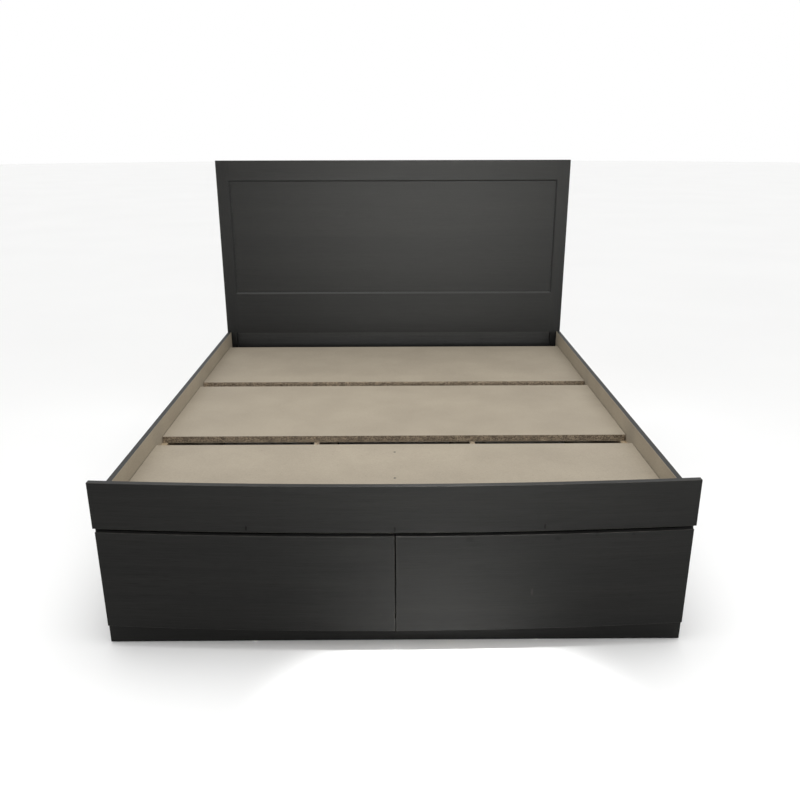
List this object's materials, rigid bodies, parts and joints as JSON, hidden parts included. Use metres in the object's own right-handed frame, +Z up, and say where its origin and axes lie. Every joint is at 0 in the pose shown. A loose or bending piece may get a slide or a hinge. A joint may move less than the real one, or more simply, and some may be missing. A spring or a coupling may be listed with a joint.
{
  "type": "platform bed with storage drawers",
  "caption": "Dark wood-grain platform bed with a framed headboard, a bowed apron at the foot, pull-out drawers below it and raw particle-board platform panels.",
  "frame": {"origin": "middle of the footprint, on the floor", "axes": "+X to the right seen from the foot end, +Y from the foot to the head, +Z up"},
  "size_m": [1.556, 2.006, 1.186],
  "materials": {
    "dark_laminate": "black-brown wood-grain laminate on board, satin, raw board on the inner faces",
    "particle_board": "raw particle board, sanded faces and speckled cut edges",
    "softwood": "planed pine, unfinished",
    "drawer_board": "foil-faced drawer board, matt",
    "hardboard": "smooth-faced hardboard",
    "coated_runner": "white epoxy-coated folded steel",
    "zinc_steel": "zinc-plated steel",
    "black_steel": "phosphated steel, dull black",
    "nylon": "moulded nylon, matt"
  },
  "bodies": {
    "bed_frame": {"apron_screws": "zinc_steel", "apron_spacer_blocks": "softwood", "barrel_nuts": "zinc_steel", "bay_back_panel": "particle_board", "bracket_screws": "zinc_steel", "centre_divider": "particle_board", "connector_bolts": "zinc_steel", "corner_brackets": "zinc_steel", "floor_glides": "nylon", "footboard_apron": "dark_laminate", "front_ledger": "softwood", "front_platform_board": "particle_board", "front_rail": "dark_laminate", "head_cross_panel": "particle_board", "head_end_panel": "dark_laminate", "headboard_dowels": "softwood", "headboard_left_stile": "dark_laminate", "headboard_lower_rail": "dark_laminate", "headboard_panel": "dark_laminate", "headboard_right_stile": "dark_laminate", "headboard_top_rail": "dark_laminate", "left_drawer_left_cabinet_runner": "coated_runner", "left_drawer_right_cabinet_runner": "coated_runner", "left_ledger": "softwood", "left_side_panel": "dark_laminate", "left_support_board": "particle_board", "platform_screws": "black_steel", "plinth_board": "dark_laminate", "right_drawer_left_cabinet_runner": "coated_runner", "right_drawer_right_cabinet_runner": "coated_runner", "right_ledger": "softwood", "right_side_panel": "dark_laminate", "right_support_board": "particle_board", "runner_screws": "zinc_steel"},
    "left_drawer": {"left_drawer_battens": "softwood", "left_drawer_bottom": "hardboard", "left_drawer_box_back": "drawer_board", "left_drawer_box_front": "drawer_board", "left_drawer_front": "dark_laminate", "left_drawer_front_screws": "zinc_steel", "left_drawer_left_drawer_runner": "coated_runner", "left_drawer_left_side": "drawer_board", "left_drawer_right_drawer_runner": "coated_runner", "left_drawer_right_side": "drawer_board"},
    "right_drawer": {"right_drawer_battens": "softwood", "right_drawer_bottom": "hardboard", "right_drawer_box_back": "drawer_board", "right_drawer_box_front": "drawer_board", "right_drawer_front": "dark_laminate", "right_drawer_front_screws": "zinc_steel", "right_drawer_left_drawer_runner": "coated_runner", "right_drawer_left_side": "drawer_board", "right_drawer_right_drawer_runner": "coated_runner", "right_drawer_right_side": "drawer_board"},
    "left_front_rollers": {"left_drawer_front_rollers": "nylon"},
    "right_front_rollers": {"right_drawer_front_rollers": "nylon"},
    "left_rear_rollers": {"left_drawer_rear_rollers": "nylon"},
    "right_rear_rollers": {"right_drawer_rear_rollers": "nylon"},
    "middle_board": {"middle_platform_board": "particle_board"},
    "rear_board": {"rear_platform_board": "particle_board"}
  },
  "joints": [
    {"name": "left_drawer_slide", "type": "slide", "parent": "bed_frame", "child": "left_drawer", "axis": [0, -1, 0], "range_m": [0, 0.38]},
    {"name": "right_drawer_slide", "type": "slide", "parent": "bed_frame", "child": "right_drawer", "axis": [0, -1, 0], "range_m": [0, 0.38]},
    {"name": "left_front_roller_spin", "type": "hinge", "parent": "bed_frame", "child": "left_front_rollers", "pos_m": [-0.3845, -0.939, 0.0917], "axis": [1, 0, 0], "continuous": true},
    {"name": "left_rear_roller_spin", "type": "hinge", "parent": "left_drawer", "child": "left_rear_rollers", "pos_m": [-0.3845, -0.463, 0.0905], "axis": [1, 0, 0], "continuous": true},
    {"name": "right_front_roller_spin", "type": "hinge", "parent": "bed_frame", "child": "right_front_rollers", "pos_m": [0.3845, -0.939, 0.0917], "axis": [1, 0, 0], "continuous": true},
    {"name": "right_rear_roller_spin", "type": "hinge", "parent": "right_drawer", "child": "right_rear_rollers", "pos_m": [0.3845, -0.463, 0.0905], "axis": [1, 0, 0], "continuous": true},
    {"name": "middle_board_lift", "type": "slide", "parent": "bed_frame", "child": "middle_board", "axis": [0, 0, 1], "range_m": [0, 0.12]},
    {"name": "rear_board_lift", "type": "slide", "parent": "bed_frame", "child": "rear_board", "axis": [0, 0, 1], "range_m": [0, 0.12]}
  ],
  "couplings": [
    {"joint": "left_front_roller_spin", "follows": "left_drawer_slide", "rad_per_m": 125},
    {"joint": "left_rear_roller_spin", "follows": "left_drawer_slide", "rad_per_m": 125},
    {"joint": "right_front_roller_spin", "follows": "right_drawer_slide", "rad_per_m": 125},
    {"joint": "right_rear_roller_spin", "follows": "right_drawer_slide", "rad_per_m": 125}
  ]
}
